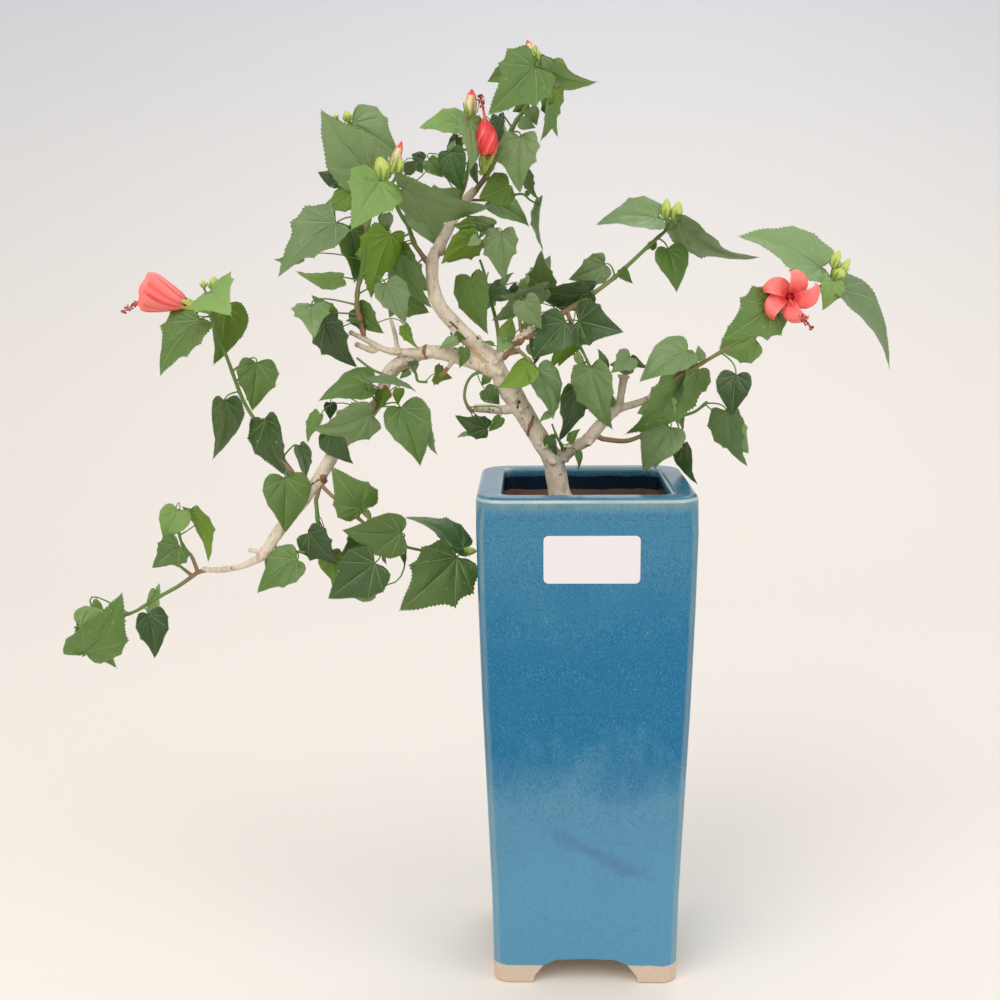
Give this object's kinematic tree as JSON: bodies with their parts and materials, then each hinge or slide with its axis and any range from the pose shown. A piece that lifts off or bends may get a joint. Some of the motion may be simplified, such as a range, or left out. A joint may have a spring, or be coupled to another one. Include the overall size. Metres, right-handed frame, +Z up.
{
  "type": "potted bonsai",
  "caption": "Turk's cap bonsai with thin leaning trunk, long boughs, lobed leaves and furled red blossoms, in a tall tapering square blue-glazed pot.",
  "frame": {"origin": "middle of the bounding box in plan, at the underside of the pot's feet", "axes": "+Z up, +X to the right seen from the front, +Y from the front towards the back"},
  "size_m": [0.4446, 0.1164, 0.5052],
  "materials": {
    "pot": "glossy",
    "soil": "matte",
    "bark": "matte",
    "foliage": "satin"
  },
  "bodies": {
    "root": {"bare_twig": "bark", "crown_top": "foliage", "cut_stub_left": "bark", "cut_stub_right": "bark", "far_left_shoot": "foliage", "fork_front_shoot": "foliage", "fork_up_twig": "foliage", "hanging_twig": "foliage", "leader": "bark", "leader_low_shoot": "foliage", "leader_right_shoot": "foliage", "leader_side_twig": "foliage", "leader_small_leaves": "foliage", "left_bough": "bark", "left_flower_shoot": "foliage", "left_inner_leaves": "foliage", "left_low_bough": "bark", "low_twig": "foliage", "mid_bough": "bark", "mid_right_shoot": "foliage", "middle_bud_shoot": "foliage", "pot": "pot", "pot_side_shoot": "foliage", "right_bough": "bark", "right_bough_foot_leaves": "foliage", "right_flower_shoot": "foliage", "right_side_twig": "foliage", "right_stub_shoot": "foliage", "soil": "soil", "stub_left_shoot": "foliage", "trunk": "bark", "under_bough_twig": "foliage", "upper_left_back_shoot": "foliage", "upper_left_shoot": "foliage"}
  },
  "joints": []
}
